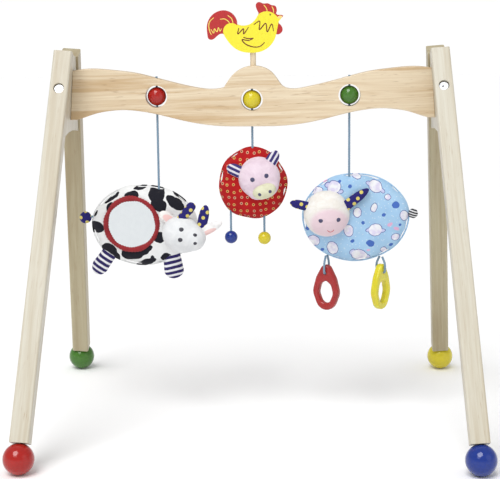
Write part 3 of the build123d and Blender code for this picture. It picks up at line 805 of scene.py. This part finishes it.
def surface_of(obj):
    """Search tree of an object's surface."""
    mesh = obj.data
    return BVHTree.FromPolygons([v.co.copy() for v in mesh.vertices],
                                [tuple(p.vertices) for p in mesh.polygons])


def on_surface(surface, x, z):
    """Point and normal where a line to the rear meets a surface, at x and z in mm."""
    place, normal, _, _ = surface.ray_cast(mm(x, -200, z), Vector((0, 1, 0)))
    return place, normal


def stitched_dot(name, surface, x, z, half_x, half_z, tilt, material, rise=0.7):
    """Small embroidered oval that bulges from a surface."""
    place, normal = on_surface(surface, x, z)
    turned = Vector((0, -1, 0)).rotation_difference(normal).to_matrix()
    across = turned @ Vector((math.cos(math.radians(tilt)), 0, math.sin(math.radians(tilt))))
    upward = turned @ Vector((-math.sin(math.radians(tilt)), 0, math.cos(math.radians(tilt))))
    verts = [place + normal * rise * MM]
    rings, sides = 5, 28
    for ring in range(1, rings + 1):
        angle = math.pi / 2 * ring / rings
        for step in range(sides):
            turn = 2 * math.pi * step / sides
            reach = math.sin(angle) * (1 + 0.025 * math.sin(step * 7))
            outward = across * math.cos(turn) * half_x + upward * math.sin(turn) * half_z
            verts.append(place + outward * reach * MM + normal * (math.cos(angle) * (rise + 0.5) - 0.5) * MM)
    faces = [(0, 1 + step, 1 + (step + 1) % sides) for step in range(sides)]
    for ring in range(rings - 1):
        for step in range(sides):
            a = 1 + ring * sides + step
            b = 1 + ring * sides + (step + 1) % sides
            faces.append((a, a + sides, b + sides, b))
    faces.append(tuple(1 + (rings - 1) * sides + step for step in range(sides)))
    return consistent(add_object(name, verts, faces, material))


def seam_line(name, surface, points, radius, material):
    """Raised stitched line that follows a surface through x, z points in mm."""
    flat = curve_through([(x, 0, z) for x, z in points], 10)
    path = []
    for point in flat:
        place, normal = on_surface(surface, point.x, point.z)
        if place is not None:
            path.append(place + normal * radius * 0.15 * MM)
    return tube(name, path, radius * MM, material, sides=8, taper=0.5)


def painted_lines(name, lines, width, rise, face_y, material):
    """Brush strokes on an upright flat face: each is a list of x, z points in mm."""
    strokes = []
    outward = -1 if face_y < 0 else 1
    for number, points in enumerate(lines):
        path = [Vector((p.x * MM, 0, p.z * MM)) for p in curve_through([(x, 0, z) for x, z in points], 8)]
        stroke = tube(name + str(number), path, width * MM, material, sides=10, taper=0.45)
        for vertex in stroke.data.vertices:
            vertex.co.y = face_y * MM + outward * 0.02 * MM + vertex.co.y * rise / width
        strokes.append(stroke)
    return joined(name, strokes)


def crumpled(obj, amount, scale, seed=0.0, second=0.4):
    """Pushes a soft surface in and out along its normals: broad folds and finer creases, from fixed noise."""
    normals = [vertex.normal.copy() for vertex in obj.data.vertices]
    for vertex, normal in zip(obj.data.vertices, normals):
        place = vertex.co * scale + Vector((seed, seed * 1.7, -seed))
        push = noise.noise(place) + second * (1 - 2 * abs(noise.noise(place * 2.6)))
        vertex.co += normal * push * amount * MM
    obj.data.update()
    return obj


def oval(x, z, half_x, half_z, steps=96, waves=((3, 0.006, 1.0), (7, 0.004, 0.0))):
    """Outline of an oval pad, uneven by a few waves round it: count, share of the radius and phase."""
    points = []
    for step in range(steps):
        angle = 2 * math.pi * step / steps
        uneven = 1 + sum(share * math.sin(count * angle + phase) for count, share, phase in waves)
        points.append((x + half_x * uneven * math.cos(angle), z + half_z * uneven * math.sin(angle)))
    return points


def leaf(base, tip, width, base_share=0.72, widest=0.6, steps=44, bow=0.0):
    """Outline of an ear, horn or foot from base to tip, with a rounded end."""
    length = math.dist(base, tip)
    along = ((tip[0] - base[0]) / length, (tip[1] - base[1]) / length)
    across = (-along[1], along[0])
    points = []
    for step in range(steps):
        angle = 2 * math.pi * (step + 0.5) / steps
        run = 0.5 - 0.5 * math.cos(angle)
        half = base_share + (1 - base_share) * min(1.0, run / widest)
        if run > widest:
            half *= math.sqrt(max(0.0, 1 - ((run - widest) / (1 - widest)) ** 2))
        if run < 0.12:
            half *= math.sqrt(max(0.0, 1 - ((0.12 - run) / 0.12) ** 2))
        side = math.copysign(half * width / 2, math.sin(angle)) + bow * math.sin(math.pi * run)
        points.append((base[0] + along[0] * length * run + across[0] * side,
                       base[1] + along[1] * length * run + across[1] * side))
    return points


def stuffed(name, outline, middle_y, thickness, material, body, slot_name, nodes, pressure=0.0, cap=2.0,
            crown=4.5, amount=0.5, scale=60.0, puckers=0, extra=(), rings=9, flatten=None):
    """A sewn and filled piece: shell, cloth inflation, creases, its body and the CAD nodes that it hides."""
    obj = consistent(pillow_mesh(name, outline, middle_y, thickness, material, rings=rings, crown=crown,
                                 puckers=puckers))
    if pressure:
        inflated(obj, pressure, cap)
    subdivided(obj, 1)
    crumpled(obj, amount, scale, seed=len(name) * 0.37)
    if flatten:
        flatten(obj)
    if extra:
        obj = joined(name + "_sewn", [obj, *extra])
    worn_by(obj, body, slot_name, *nodes)
    return obj


def small_piece(name, outline, middle_y, thickness, material, slot_name, amount=0.3, rings=6):
    """Sewn ear, horn or foot. Its name holds the animal, the part and the side."""
    animal, part, side = name.split("_")
    stuffed(name, outline, middle_y, thickness, material, animal + "_toy", slot_name,
            ["_".join((animal, side, part))], crown=3, amount=amount, rings=rings)


def seam_ridge(name, outline, middle_y, radius, material):
    """Piped edge that runs round a pad's outline."""
    path = [Vector((x * MM, middle_y * MM, z * MM)) for x, z in outline]
    path.append(path[0].copy())
    return tube(name, path, radius * MM, material, sides=6)


def gathered_ring(name, x, z, outer, inner, rear_y, front_y, gathers, material):
    """Round fabric binding with soft gathers, from its outer edge over the crown to its inner lip."""
    verts, faces = [], []
    around, section = 360, 14
    for step in range(around):
        angle = 2 * math.pi * step / around
        ripple = math.sin(gathers * angle + 0.8 * math.sin(5 * angle))
        uneven = 0.45 * math.sin(4 * angle + 0.6) + 0.3 * math.sin(9 * angle)
        for part in range(section):
            share = part / (section - 1)
            turn = math.pi * share
            reach = (outer + inner) / 2 + (outer - inner) / 2 * math.cos(turn) + uneven * math.cos(turn)
            reach += ripple * 0.35 * abs(math.cos(turn))
            rise = (rear_y - front_y) * math.sin(turn) ** 0.7
            depth = rear_y - rise + ripple * 0.3 * math.sin(turn)
            verts.append(mm(x + reach * math.cos(angle), depth, z + reach * math.sin(angle)))
    for step in range(around):
        for part in range(section):
            a = step * section + part
            b = step * section + (part + 1) % section
            c = (step + 1) % around * section + (part + 1) % section
            d = (step + 1) % around * section + part
            faces.append((a, b, c, d))
    return consistent(add_object(name, verts, faces, material))


def hung_cord(name, top, bottom, radius, material):
    """Twisted cord that hangs straight, as a mesh tube, with the points that it follows."""
    path = even([top, bottom], mm(0.8))
    return tube(name, path, radius, material, sides=18, lobes=3, lay_length=mm(10.5)), path


# ---------------------------------------------------------------- materials

LEG_PLACES = {"front_left": (-1, -1), "front_right": (1, -1), "rear_left": (-1, 1), "rear_right": (1, 1)}
PALE_WOOD = ((0.60, 0.575, 0.49), (0.47, 0.41, 0.30), (0.36, 0.25, 0.14))
# Painted shade: the rear legs are the same timber as the front legs; these darker, warmer tones stand in for
# the shade on their visible faces.
REAR_LEG_SHADED_WOOD = ((0.46, 0.41, 0.27), (0.34, 0.27, 0.155), (0.28, 0.18, 0.09))
BAR_WOOD = ((0.74, 0.63, 0.46), (0.54, 0.38, 0.21), (0.30, 0.17, 0.08))

leg_woods = {}
for corner, (side, end) in LEG_PLACES.items():
    # Rear legs take the darker tones, as painted shade.
    tones = PALE_WOOD if end < 0 else REAR_LEG_SHADED_WOOD
    leg_woods[corner] = wood("leg_wood_" + corner, (side * 0.065, end * 0.41, -0.91), *tones,
                             contrast=1.2, offset=(0.13 * side, 0.21 * end, 0.05 * side))
block_wood = wood("block_wood", (0.07, 0.12, 1), *PALE_WOOD, contrast=1.0)
bar_wood = wood("bar_wood", (1, 0, 0.02), *BAR_WOOD, contrast=1.5)
dowel_wood = wood("dowel_wood", (0, 0, 1), *BAR_WOOD, contrast=0.8)
red_lacquer = lacquer("red_lacquer", (0.40, 0.010, 0.006), (0.25, 0.005, 0.004))
blue_lacquer = lacquer("blue_lacquer", (0.006, 0.032, 0.25), (0.004, 0.018, 0.14))
green_lacquer = lacquer("green_lacquer", (0.055, 0.18, 0.018), (0.03, 0.10, 0.012))
yellow_lacquer = lacquer("yellow_lacquer", (0.66, 0.56, 0.022), (0.50, 0.40, 0.014))
red_plastic = moulded_plastic("red_plastic", (0.36, 0.010, 0.010), (0.24, 0.006, 0.007))
yellow_plastic = moulded_plastic("yellow_plastic", (0.70, 0.62, 0.018), (0.50, 0.44, 0.012))
zinc_steel = zinc("zinc_steel")
mirror_skin = mirror_film("mirror_film")
cord_cotton = cord_fibre("blue_cord")
cow_cotton = cow_print()
pig_cotton = pig_print()
lamb_cotton = lamb_print()
dot_cotton = dotted("navy_dots")
red_bias = binding("red_binding")
white_plush = velour("white_velour", (0.74, 0.75, 0.76), (0.62, 0.64, 0.66))
ear_plush = velour("ear_velour", (0.84, 0.83, 0.81), (0.64, 0.60, 0.60), (0.80, 0.52, 0.50),
                   (-115, 287, 10, 5.5, 150))
ear_tip_plush = velour("ear_velour_right", (0.85, 0.85, 0.84), (0.64, 0.62, 0.62), (0.80, 0.55, 0.53),
                       (-60, 270, 12, 3.4, 24))
pink_plush = velour("pink_velour", (0.76, 0.64, 0.72), (0.60, 0.46, 0.55))
snout_plush = velour("snout_velour", (0.68, 0.68, 0.50), (0.54, 0.52, 0.36))
lamb_plush = velour("cream_velour", (0.81, 0.80, 0.785), (0.68, 0.64, 0.57), (0.72, 0.56, 0.62),
                    (106, 280, 31, 25, 0), 0.3)
black_thread = thread("black_thread", (0.012, 0.012, 0.02), (0.10, 0.10, 0.13))
navy_thread = thread("navy_thread", (0.02, 0.02, 0.08), (0.12, 0.12, 0.20))
red_thread = thread("red_thread", (0.45, 0.02, 0.04), (0.62, 0.10, 0.12))
foot_left_stripes = striped("navy_stripes_left_foot", (-0.58, -0.81), 7.4, (0.03, 0.022, 0.12))
foot_right_stripes = striped("navy_stripes_right_foot", (0.22, -0.97), 7.4, (0.03, 0.022, 0.12))
EAR_NAVY = (0.05, 0.04, 0.18)
EAR_WHITE = (0.78, 0.76, 0.82)
ear_stripes_left = striped("navy_stripes_left_ear", (0.43, 0.90), 6.4, EAR_NAVY, EAR_WHITE)
ear_stripes_right = striped("navy_stripes_right_ear", (0.86, -0.51), 6.4, EAR_NAVY, EAR_WHITE)
tail_stripes = striped("black_stripes", (0.25, 0.97), 3.4, (0.015, 0.015, 0.02), (0.78, 0.79, 0.80))
rooster_skin = rooster_paint()

CAD_LOOKS = {
    "crossbar": bar_wood, "left_end_block": block_wood, "right_end_block": block_wood,
    "front_left_foot": red_lacquer, "front_right_foot": blue_lacquer, "rear_left_foot": green_lacquer,
    "rear_right_foot": yellow_lacquer, "red_bead": red_lacquer, "yellow_bead": yellow_lacquer,
    "green_bead": green_lacquer, "pig_left_ball": blue_lacquer, "pig_right_ball": yellow_lacquer,
    "foot_dowels": dowel_wood, "bar_dowels": dowel_wood, "rooster_dowel": dowel_wood,
    "frame_bolts": zinc_steel, "barrel_nuts": zinc_steel, "rooster": rooster_skin,
    "red_ring": red_plastic, "yellow_ring": yellow_plastic, "cow_mirror": mirror_skin,
}
CAD_LOOKS.update({corner + "_leg": leg_woods[corner] for corner in LEG_PLACES})

for node_name, look in CAD_LOOKS.items():
    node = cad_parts[node_name]
    node.data.materials.clear()
    node.data.materials.append(look)


# ---------------------------------------------------------------- cords

CORD_RADIUS = mm(1.6)
HANGING = {"cow": (-130.5, 454.0, 430.0, 330.0), "pig": (0.0, 448.8, 412.5, 383.0),
           "lamb": (133.0, 454.0, 429.6, 345.5)}

for toy, (x, bead_z, exit_z, toy_z) in HANGING.items():
    inside, inside_path = hung_cord(toy + "_cord_in_bar", mm(x, 0, bead_z + 27), mm(x, 0, exit_z),
                                    CORD_RADIUS, cord_cotton)
    worn_by(inside, "frame", "blue_cord", toy + "_bar_cord")
    hanging, hanging_path = hung_cord(toy + "_hanging_cord", mm(x, 0, exit_z), mm(x, 0, toy_z - 5),
                                      CORD_RADIUS, cord_cotton)
    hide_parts(toy + "_neck_cord", toy + "_cord")
    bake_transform(hanging)

PIG_MIDDLE = (0.0, 332.8)
PIG_HALF = (47.4, 50.0)
PAD_Y = 2.0
BALLS = {"left": (-31.0, 257.1), "right": (15.5, 255.7)}
for place, (x, ball_z) in BALLS.items():
    top = PIG_MIDDLE[1] - PIG_HALF[1] * math.sqrt(1 - (x / PIG_HALF[0]) ** 2)
    string, string_path = hung_cord("pig_" + place + "_ball_string", mm(x, PAD_Y, top + 4.5),
                                    mm(x, PAD_Y, ball_z + 2), CORD_RADIUS, cord_cotton)
    worn_by(string, "pig_" + place + "_pendant", "blue_cord", "pig_" + place + "_string")

RING_PIN = 52.8
LOOPS = {"red": (102.0, 153.0, 230.5, -30), "yellow": (177.5, 154.0, 228.6, 55)}
for colour, (x, ring_z, loop_top, turn) in LOOPS.items():
    facing = Vector((math.sin(math.radians(turn)), -math.cos(math.radians(turn)), 0))
    start = mm(x, PAD_Y, ring_z + RING_PIN)
    rise = loop_top - ring_z - RING_PIN
    half = [(2.2, rise), (4.6, rise * 0.8), (7, rise * 0.55), (7, 4), (7, 1.2), (5.6, 0)]
    bends = half + [(-across, up) for across, up in reversed(half)]
    corners = [start + facing * across * MM + Vector((0, 0, up * MM)) for across, up in bends]
    loop_path = even(route(corners), mm(0.7))
    loop = tube(colour + "_loop_cord", loop_path, CORD_RADIUS, cord_cotton, sides=18, lobes=3,
                lay_length=mm(10.5))
    worn_by(loop, colour + "_ring_loop", "blue_cord", colour + "_ring_loop")


# ---------------------------------------------------------------- cow

MIRROR = (-168.4, 277.9)
MIRROR_BED_RADIUS = 39
MIRROR_BED_Y = -8.7
MIRROR_BED_SLOPE = 5
COW_OUTLINE = oval(-152, 275, 73.0, 56.0)


def seat_for_mirror(obj):
    """Presses the front of the body flat where the mirror lies."""
    for vertex in obj.data.vertices:
        reach = math.dist((vertex.co.x / MM, vertex.co.z / MM), MIRROR)
        if reach < MIRROR_BED_RADIUS and vertex.co.y < mm(-2):
            share = min(1.0, (MIRROR_BED_RADIUS - reach) / MIRROR_BED_SLOPE)
            vertex.co.y += (mm(MIRROR_BED_Y) - vertex.co.y) * share


stuffed("cow_pad", COW_OUTLINE, PAD_Y, 24, cow_cotton, "cow_toy", "cow_print", ["cow_body"], pressure=3.0,
        cap=2.5, amount=0.55, scale=55.0, puckers=34, flatten=seat_for_mirror,
        extra=[seam_ridge("cow_seam", COW_OUTLINE, PAD_Y, 1.1, cow_cotton)])
rim = gathered_ring("mirror_binding", *MIRROR, 39.5, 32.4, -8.6, -13.8, 58, red_bias)
worn_by(rim, "cow_toy", "red_binding", "cow_mirror_rim")

cow_head = plush("cow_plush_head", [((-97, -26, 266), (28, 22.5, 25.5), -22),
                                    ((-82, -32, 262), (18, 16.5, 18.5), -22)], white_plush)
crumpled(cow_head, 0.5, 70.0, 2.1)
face = surface_of(cow_head)
cow_marks = [stitched_dot("cow_" + mark, face, *place, black_thread, rise) for mark, place, rise in (
    ("eye_upper", (-96.3, 276, 3.4, 3.2, 0), 0.7), ("eye_lower", (-98, 262, 3.4, 3.2, 0), 0.7),
    ("nostril_upper", (-77.7, 268.6, 2.9, 2.5, -20), 0.5),
    ("nostril_lower", (-77.6, 256.9, 2.9, 2.5, -20), 0.5))]
cow_face = joined("cow_face", [cow_head, *cow_marks])
worn_by(cow_face, "cow_toy", "white_velour", "cow_head")

small_piece("cow_ear_left", leaf((-104, 277), (-128, 296), 16, 0.8), -21, 7, ear_plush, "ear_velour")
small_piece("cow_ear_right", leaf((-82, 264), (-41.5, 283), 15, 0.9, 0.4), -28, 7, ear_tip_plush,
            "ear_velour")
small_piece("cow_horn_left", leaf((-106, 278), (-79.5, 310), 12.5, 1.0, 0.86), -31, 8, dot_cotton,
            "navy_dots")
small_piece("cow_horn_right", leaf((-73, 263), (-63.5, 307), 14, 0.95, 0.62), -27, 8, dot_cotton, "navy_dots")
small_piece("cow_foot_left", leaf((-197, 243), (-223, 206), 23, 0.9, 0.7), PAD_Y, 15, foot_left_stripes,
            "navy_stripes", amount=0.45, rings=7)
small_piece("cow_foot_right", leaf((-115.7, 241), (-110.5, 198.5), 28, 0.8, 0.72), PAD_Y, 15,
            foot_right_stripes, "navy_stripes", amount=0.45, rings=7)
cow_tail = plush("cow_tail_puff", [((-234.5, 2, 285.8), (8.4, 8.4, 8.4), 0)], dot_cotton, voxel=1.2,
                 smoothing=3)
crumpled(cow_tail, 0.35, 140.0, 0.7)
worn_by(cow_tail, "cow_toy", "navy_dots", "cow_tail")
tail_cord = tube("cow_tail_link", even([mm(-231, 2, 286.2), mm(-219, 2, 287.4)], mm(0.8)), CORD_RADIUS,
                 cord_cotton, sides=18, lobes=3)
worn_by(tail_cord, "cow_toy", "blue_cord", "cow_tail_cord")


# ---------------------------------------------------------------- pig

PIG_OUTLINE = oval(*PIG_MIDDLE, PIG_HALF[0] - 1.0, PIG_HALF[1] - 1.0,
                   waves=((3, 0.016, 2.9), (5, 0.012, 1.2), (8, 0.008, 0.4)))
stuffed("pig_pad", PIG_OUTLINE, PAD_Y, 24, pig_cotton, "pig_toy", "red_print", ["pig_body"], pressure=3.0,
        cap=2.5, amount=0.5, scale=60.0, puckers=26,
        extra=[seam_ridge("pig_seam", PIG_OUTLINE, PAD_Y, 1.1, pig_cotton)])
pig_head = crumpled(plush("pig_plush_head", [((9.1, -11, 342), (29, 19.5, 29), 0),
                                             ((14.5, -17, 328), (23, 12.5, 15), 18)], pink_plush),
                    0.6, 62.0, 4.4)
snout = crumpled(plush("pig_plush_snout", [((16.6, -26, 325.6), (16.5, 9.5, 10.8), 18)], snout_plush,
                       voxel=1.3, smoothing=4), 0.35, 80.0, 1.2)
face = surface_of(pig_head)
nose = surface_of(snout)
pig_marks = [stitched_dot("pig_eye_left", face, 0.5, 341.6, 3.4, 3.4, 0, navy_thread),
             stitched_dot("pig_eye_right", face, 19.7, 346.6, 3.4, 3.4, 0, navy_thread)]
pig_face = joined("pig_face", [pig_head, *pig_marks])
worn_by(pig_face, "pig_toy", "pink_velour", "pig_head")
nose_marks = [stitched_dot("pig_nostril_left", nose, 10.5, 321.6, 2.6, 2.6, 0, navy_thread, 0.4),
              stitched_dot("pig_nostril_right", nose, 24.5, 325.8, 2.6, 2.6, 0, navy_thread, 0.4)]
pig_nose = joined("pig_nose", [snout, *nose_marks])
worn_by(pig_nose, "pig_toy", "snout_velour", "pig_snout")
small_piece("pig_ear_left", leaf((-12, 348), (-35, 358), 17, 1.0, 0.5), -13.5, 7, ear_stripes_left,
            "navy_stripes")
small_piece("pig_ear_right", leaf((20, 355), (34.5, 379), 17, 1.0, 0.45), -13.5, 7, ear_stripes_right,
            "navy_stripes")


# ---------------------------------------------------------------- lamb

LAMB_OUTLINE = oval(142, 284.7, 73.4, 60.9)
stuffed("lamb_pad", LAMB_OUTLINE, PAD_Y, 24, lamb_cotton, "lamb_toy", "blue_print", ["lamb_body"],
        pressure=3.0, cap=2.5, amount=0.55, scale=55.0, puckers=36,
        extra=[seam_ridge("lamb_seam", LAMB_OUTLINE, PAD_Y, 1.1, lamb_cotton)])
lamb_head = crumpled(plush("lamb_plush_head", [((101.9, -11, 291.7), (32, 24.5, 32), 0)], lamb_plush),
                     0.6, 58.0, 3.3)
face = surface_of(lamb_head)
lamb_marks = [stitched_dot("lamb_eye_left", face, 93.3, 285.2, 3.3, 3.2, 0, navy_thread),
              stitched_dot("lamb_eye_right", face, 117.7, 286.1, 3.3, 3.2, 0, navy_thread),
              seam_line("lamb_mouth_left", face, [(102.4, 271.5), (104.5, 269.4), (107, 268.6)], 0.5,
                        red_thread),
              seam_line("lamb_mouth_right", face, [(111.4, 272.1), (109.6, 269.8), (107, 268.6)], 0.5,
                        red_thread),
              seam_line("lamb_brow_seam", face,
                        [(76, 297), (86, 301), (102, 302.5), (118, 301), (128, 297)], 0.35, lamb_plush)]
lamb_face = joined("lamb_face", [lamb_head, *lamb_marks])
worn_by(lamb_face, "lamb_toy", "cream_velour", "lamb_head")
small_piece("lamb_ear_left", leaf((82, 301.5), (51.2, 308.2), 13, 1.0, 0.5), -18, 6, dot_cotton, "navy_dots")
small_piece("lamb_ear_right", leaf((120, 297.5), (159.5, 327), 14, 1.0, 0.5), -18, 6, dot_cotton, "navy_dots")
lamb_tail = crumpled(plush("lamb_tail_puff", [((221.6, 2, 289.4), (6.9, 6.9, 6.9), 0)], tail_stripes,
                           voxel=1.2, smoothing=3), 0.3, 150.0, 0.9)
worn_by(lamb_tail, "lamb_toy", "black_stripes", "lamb_tail")


# ---------------------------------------------------------------- rooster strokes

red_stroke = lacquer("rooster_red_line", (0.16, 0.018, 0.006), (0.10, 0.010, 0.004), 0.3)
dark_stroke = lacquer("rooster_dark_line", (0.03, 0.012, 0.01), (0.015, 0.008, 0.008), 0.3)
pale_stroke = lacquer("rooster_pale_line", (0.88, 0.76, 0.16), (0.80, 0.62, 0.08), 0.3)
BODY_LINES = [
    [(3.5, 549.7), (11.6, 554.3), (11.2, 543.1), (19.7, 551.4), (21.8, 540.1), (27.8, 550.5), (30.3, 540.7)],
    [(-16.8, 545.5), (-18, 537.5), (-10.5, 544.4), (-10.2, 537.5), (-3.5, 546.5)],
    [(-10.6, 533.1), (-4.8, 531.2), (3, 531.5)],
    [(2.6, 531.2), (-4, 528.7), (-12.4, 529.8), (-7.1, 523.4), (4, 519.8), (12.1, 520.9), (18, 525.9)],
]
TAIL_LINES = [
    [(-50.5, 559.6), (-56.1, 554.2), (-57.3, 547), (-55.5, 539.7), (-53.7, 536.8)],
    [(-54.7, 544.1), (-50.8, 538.9), (-49.9, 544.7), (-46.3, 540.7), (-44.4, 546.1),
     (-42.2, 541.4), (-40.3, 545)],
    [(-42, 557.4), (-36.1, 557.7), (-31, 554.7), (-29.2, 551.8)],
    [(-31.6, 562.4), (-26.5, 558.3), (-24.4, 552.1)],
    [(17.3, 576), (20.6, 571.6), (22, 567.3)], [(28.3, 573.7), (30.1, 570.1), (30.5, 565.4)],
]
EYE_LINE = [[(25.3, 562.5), (25.9, 562.7), (26.5, 562.5)]]
for face_name, face_y in (("front", -6), ("rear", 6)):
    for group, lines, width, look in (("body", BODY_LINES, 0.8, red_stroke),
                                      ("tail", TAIL_LINES, 0.6, pale_stroke),
                                      ("eye", EYE_LINE, 1.5, dark_stroke)):
        strokes = painted_lines("rooster_" + group + "_" + face_name, lines, width, 0.18, face_y, look)
        worn_by(strokes, "frame", "rooster_paint")


# ---------------------------------------------------------------- floor and light

def floor_look():
    """Plain pale studio floor with a barely visible grain."""
    s = Shader("studio_floor")
    cloud = s.noise(s.place, 6.0, 3.0)
    fine = s.noise(s.place, 320.0, 2.0)
    base = s.mix(cloud, (0.98, 0.98, 0.98), (0.96, 0.96, 0.965))
    return s.finish(Base_Color=base, Roughness=s.math("MULTIPLY_ADD", fine, 0.1, 0.7),
                    Normal=s.bump(fine, mm(0.1), 0.1))


FLOOR_HALF = 9.0
floor = add_object("studio_floor", [(-FLOOR_HALF, -FLOOR_HALF, 0), (FLOOR_HALF, -FLOOR_HALF, 0),
                                    (FLOOR_HALF, FLOOR_HALF, 0), (-FLOOR_HALF, FLOOR_HALF, 0)],
                   [(0, 1, 2, 3)],
                   floor_look(), smooth=False)


def area_light(name, place, target, size, power, colour=(1, 1, 1)):
    """Soft round light that faces a target."""
    data = bpy.data.lights.new(name, "AREA")
    data.shape = "DISK"
    data.size = size
    data.energy = power
    data.color = colour
    light = bpy.data.objects.new(name, data)
    scene.collection.objects.link(light)
    light.location = place
    light.rotation_euler = (Vector(target) - Vector(place)).to_track_quat("-Z", "Y").to_euler()
    return light


def sun_light(name, direction, strength, softness, colour=(1, 1, 1)):
    """Parallel light; its softness is an angle in degrees."""
    data = bpy.data.lights.new(name, "SUN")
    data.energy = strength
    data.angle = math.radians(softness)
    data.color = colour
    light = bpy.data.objects.new(name, data)
    scene.collection.objects.link(light)
    light.rotation_euler = Vector(direction).to_track_quat("-Z", "Y").to_euler()
    return light


def studio_world():
    """White surroundings, brightest in a band at the horizon, as a studio sweep is."""
    world = bpy.data.worlds.new("studio")
    world.use_nodes = True
    tree = world.node_tree
    background = tree.nodes["Background"]
    direction = tree.nodes.new("ShaderNodeTexCoord").outputs["Generated"]
    parts = tree.nodes.new("ShaderNodeSeparateXYZ")
    tree.links.new(direction, parts.inputs[0])
    ramp = tree.nodes.new("ShaderNodeValToRGB")
    levels = [(0.0, WORLD_LOW), (0.04, 1.02), (0.16, 1.02), (0.34, WORLD_LOW)]
    shift = tree.nodes.new("ShaderNodeMath")
    shift.operation = "ADD"
    shift.inputs[1].default_value = 0.12
    tree.links.new(parts.outputs[2], shift.inputs[0])
    tree.links.new(shift.outputs[0], ramp.inputs[0])
    while len(ramp.color_ramp.elements) < len(levels):
        ramp.color_ramp.elements.new(0.5)
    for element, (position, level) in zip(ramp.color_ramp.elements, levels):
        element.position = position
        element.color = (level, level, level, 1)
    tree.links.new(ramp.outputs["Color"], background.inputs["Color"])
    scene.world = world


WORLD_LOW = 0.55
area_light("key", (-0.9, -2.2, 1.9), (0, 0, 0.28), 1.2, 7)
area_light("fill", (1.9, -1.4, 1.1), (0, 0, 0.3), 1.6, 3)
sun_light("top", (0.25, 0.55, -1.0), 1.9, 35)
studio_world()
scene.view_settings.view_transform = "Standard"
scene.view_settings.look = "None"
